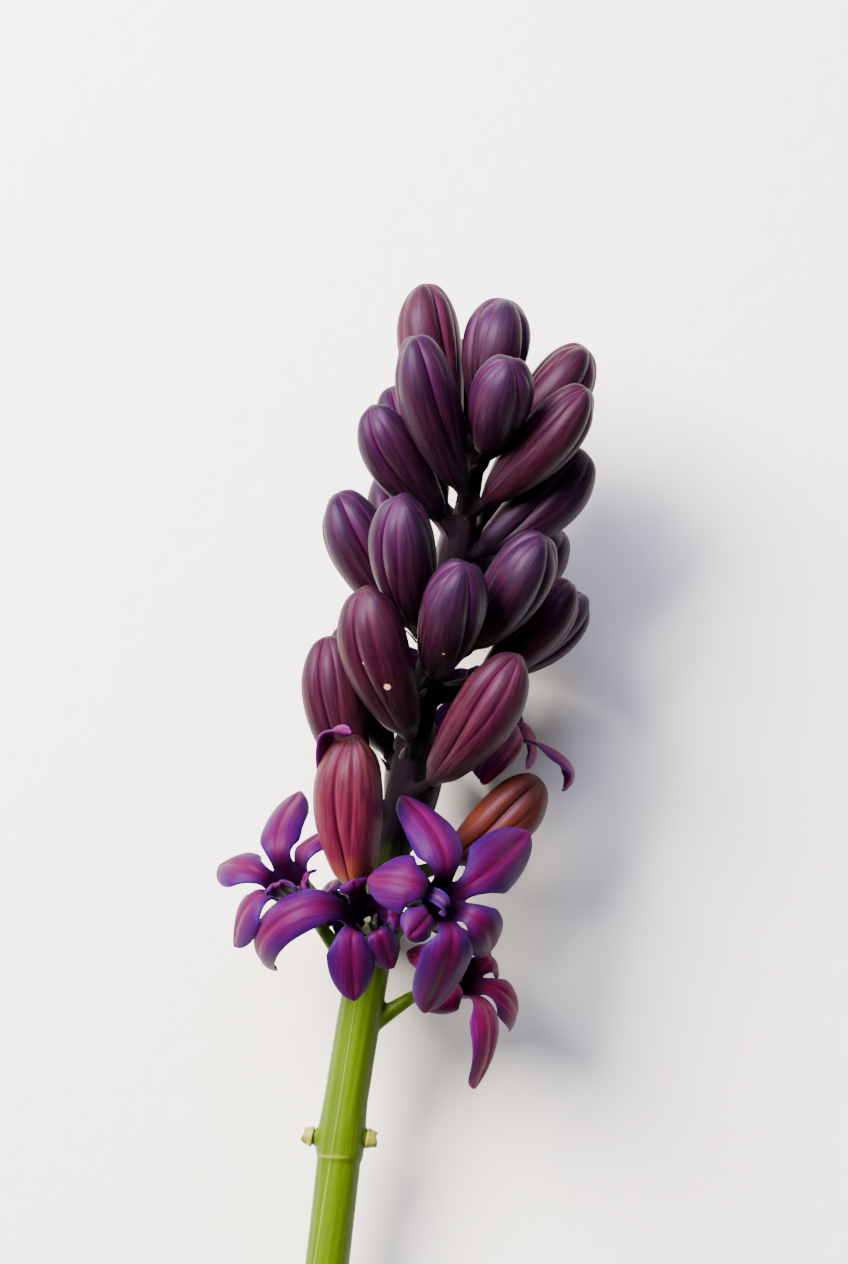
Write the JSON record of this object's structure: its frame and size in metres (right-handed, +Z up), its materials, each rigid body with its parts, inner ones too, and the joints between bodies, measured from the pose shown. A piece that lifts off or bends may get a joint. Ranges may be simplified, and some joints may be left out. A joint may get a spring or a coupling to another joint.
{
  "type": "cut flower raceme",
  "caption": "Cut hyacinth flower lying on its back: a long green stem carrying a dense spike of plum buds, with starry violet florets open below them.",
  "frame": {"origin": "centre of the bounding box's underside, on the surface the flower lies on", "axes": "+Y along the stem from its cut end towards the tip of the flower head, +Z up, away from the surface, +X to the right seen from above with the tip pointing away"},
  "size_m": [0.0488, 0.194, 0.0464],
  "materials": {
    "green_stem": "smooth fresh stem, satin",
    "plum_bud": "waxy closed tepals, satin",
    "violet_petal": "soft matte tepals",
    "pale_pistil": "soft matte"
  },
  "bodies": {
    "root": {"flower_stem": "green_stem", "bud_01": "plum_bud", "bud_02": "plum_bud", "bud_03": "plum_bud", "bud_04": "plum_bud", "bud_05": "plum_bud", "bud_06": "plum_bud", "bud_07": "plum_bud", "bud_08": "plum_bud", "bud_09": "plum_bud", "bud_10": "plum_bud", "bud_11": "plum_bud", "bud_12": "plum_bud", "bud_13": "plum_bud", "bud_14": "plum_bud", "bud_15": "plum_bud", "bud_16": "plum_bud", "bud_17": "plum_bud", "bud_18": "plum_bud", "bud_19": "plum_bud", "bud_20": "plum_bud", "bud_21": "plum_bud", "bud_22": "plum_bud", "bud_23": "plum_bud", "bud_24": "plum_bud", "bud_25": "plum_bud", "bud_26": "plum_bud", "bud_27": "plum_bud", "left_floret_perianth": "violet_petal", "left_floret_pistil": "pale_pistil", "front_floret_perianth": "violet_petal", "front_floret_pistil": "pale_pistil", "centre_floret_perianth": "violet_petal", "centre_floret_pistil": "pale_pistil", "low_right_floret_perianth": "violet_petal", "low_right_floret_pistil": "pale_pistil", "right_floret_perianth": "violet_petal", "right_floret_pistil": "pale_pistil", "back_right_floret_perianth": "violet_petal", "back_right_floret_pistil": "pale_pistil", "back_left_floret_perianth": "violet_petal", "back_left_floret_pistil": "pale_pistil", "low_back_floret_perianth": "violet_petal", "low_back_floret_pistil": "pale_pistil"}
  },
  "joints": []
}
